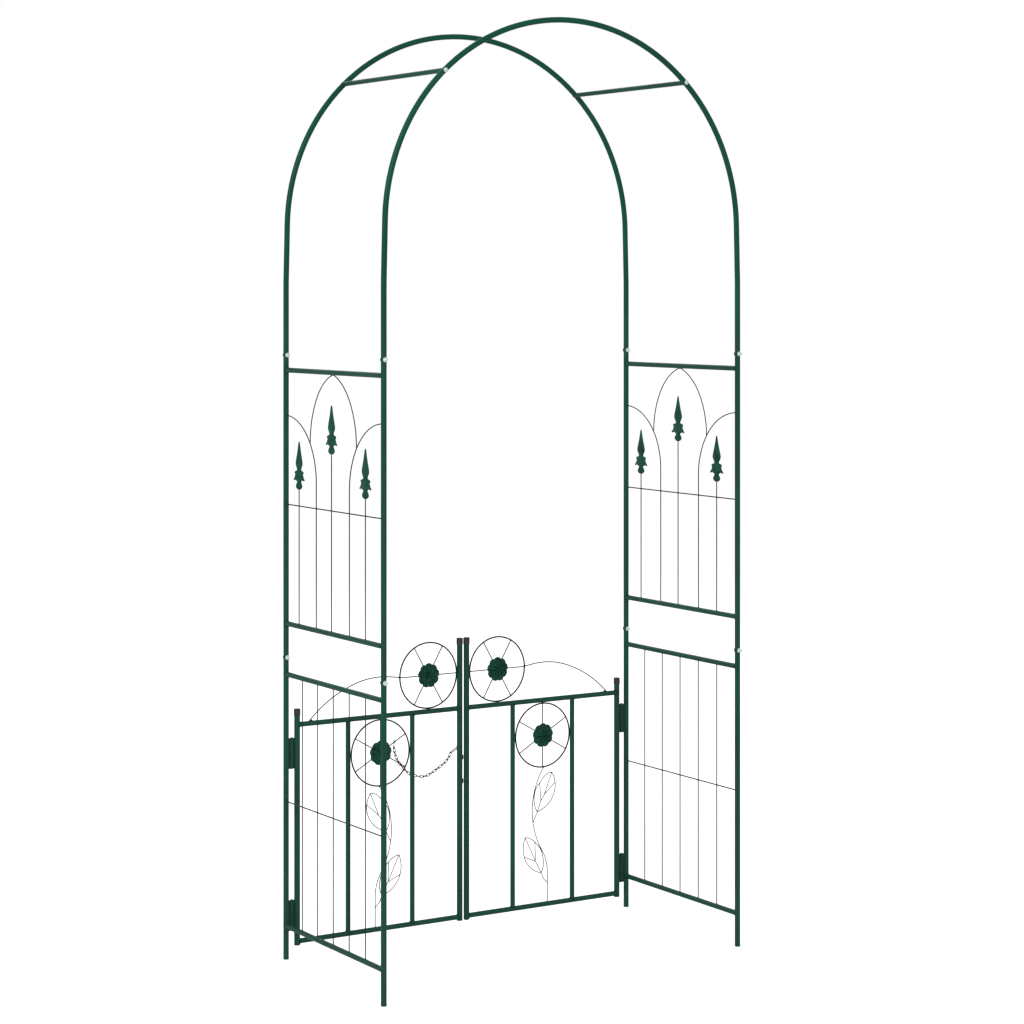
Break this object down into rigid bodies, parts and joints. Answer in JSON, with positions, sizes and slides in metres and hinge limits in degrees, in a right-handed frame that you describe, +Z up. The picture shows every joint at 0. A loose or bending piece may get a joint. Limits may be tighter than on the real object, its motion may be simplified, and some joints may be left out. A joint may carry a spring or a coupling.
{
  "type": "garden trellis arch",
  "caption": "Dark green round-topped garden arch with barred side panels, spear finials and a pair of low swinging gates with flower rings and a latch chain.",
  "frame": {"origin": "on the ground, midway between the four feet", "axes": "+X across the walkway towards the right-hand panel, +Y through the arch towards the gate, +Z up"},
  "size_m": [1.0514, 0.5355, 2.35],
  "materials": {
    "green_tube": "satin dark green powder coat on steel tube",
    "green_wire": "satin dark green powder coat on steel wire",
    "green_hinge": "satin dark green powder coat",
    "cast_finial": "painted dark green casting, slightly rough",
    "rosette": "painted dark green casting",
    "dark_bolt": "blackened steel",
    "zinc_nut": "bright zinc plate",
    "insert_steel": "plain steel",
    "stile_cap": "moulded dark grey plastic",
    "chain": "dark coated steel chain"
  },
  "bodies": {
    "root": {"lower_post_front_left": "green_tube", "upper_post_front_left": "green_tube", "arch_shoulder_front_left": "green_tube", "lower_post_front_right": "green_tube", "upper_post_front_right": "green_tube", "arch_shoulder_front_right": "green_tube", "arch_crown_front": "green_tube", "lower_post_rear_left": "green_tube", "upper_post_rear_left": "green_tube", "arch_shoulder_rear_left": "green_tube", "lower_post_rear_right": "green_tube", "upper_post_rear_right": "green_tube", "arch_shoulder_rear_right": "green_tube", "arch_crown_rear": "green_tube", "crossbar_left": "green_tube", "lower_panel_rails_left": "green_tube", "upper_panel_rails_left": "green_tube", "lower_grille_left": "green_wire", "upper_grille_left": "green_wire", "spear_finials_left": "cast_finial", "post_hinge_halves_left": "green_hinge", "crossbar_right": "green_tube", "lower_panel_rails_right": "green_tube", "upper_panel_rails_right": "green_tube", "lower_grille_right": "green_wire", "upper_grille_right": "green_wire", "spear_finials_right": "cast_finial", "post_hinge_halves_right": "green_hinge", "post_bolts": "dark_bolt", "post_nuts": "zinc_nut", "crossbar_bolts": "zinc_nut", "crossbar_inserts": "insert_steel", "hinge_pins": "green_hinge"},
    "left_leaf": {"gate_hinge_stile_left": "green_tube", "gate_meeting_stile_left": "green_tube", "gate_top_rail_left": "green_tube", "gate_bottom_rail_left": "green_tube", "gate_bars_left": "green_tube", "upper_ring_left": "green_wire", "lower_ring_left": "green_wire", "rosettes_left": "rosette", "arched_wire_left": "green_wire", "leafy_stem_left": "green_wire", "stile_caps_left": "stile_cap", "gate_hinge_halves_left": "green_hinge", "stile_staples": "green_wire"},
    "right_leaf": {"gate_hinge_stile_right": "green_tube", "gate_meeting_stile_right": "green_tube", "gate_top_rail_right": "green_tube", "gate_bottom_rail_right": "green_tube", "gate_bars_right": "green_tube", "upper_ring_right": "green_wire", "lower_ring_right": "green_wire", "rosettes_right": "rosette", "arched_wire_right": "green_wire", "leafy_stem_right": "green_wire", "stile_caps_right": "stile_cap", "gate_hinge_halves_right": "green_hinge"},
    "chain": {"chain_links": "chain", "chain_hook": "chain"}
  },
  "joints": [
    {"name": "left_leaf_hinge", "type": "hinge", "parent": "root", "child": "left_leaf", "pos_m": [-0.5032, 0.2505, 0.3], "axis": [0, 0, 1], "range_deg": [-88, 110]},
    {"name": "right_leaf_hinge", "type": "hinge", "parent": "root", "child": "right_leaf", "pos_m": [0.5032, 0.2505, 0.3], "axis": [0, 0, -1], "range_deg": [-88, 110]},
    {"name": "chain_swing", "type": "hinge", "parent": "left_leaf", "child": "chain", "pos_m": [-0.206, 0.2505, 0.5162], "axis": [0.9822, 0.0638, -0.1768], "range_deg": [0, 24]}
  ]
}
